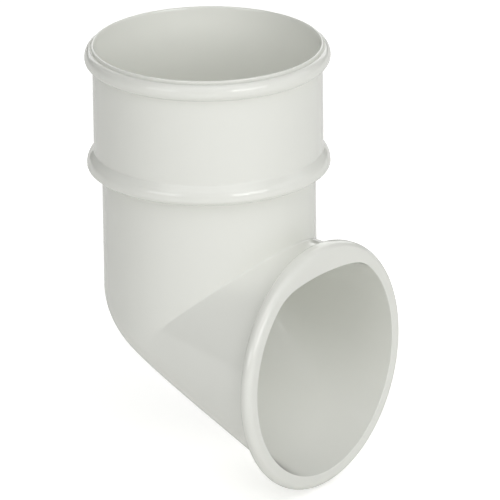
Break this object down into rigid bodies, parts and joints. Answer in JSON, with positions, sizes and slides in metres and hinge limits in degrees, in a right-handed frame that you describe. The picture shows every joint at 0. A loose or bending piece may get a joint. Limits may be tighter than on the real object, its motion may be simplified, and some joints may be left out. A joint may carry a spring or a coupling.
{
  "type": "downpipe shoe",
  "caption": "Round downpipe shoe moulded in one piece: a beaded pipe socket on top, a short body with a mitred bend and rounded heel, and a wide round outlet that throws water forward.",
  "frame": {"origin": "on the socket's axis at the height of the pipe stop", "axes": "+Z along the socket's axis, up and out of its mouth; -Y forward, the way the outlet faces; X across"},
  "size_m": [0.081, 0.0848, 0.1399],
  "materials": {
    "pvc_body": "gloss"
  },
  "bodies": {
    "root": {"downpipe_shoe": "pvc_body"}
  },
  "joints": []
}
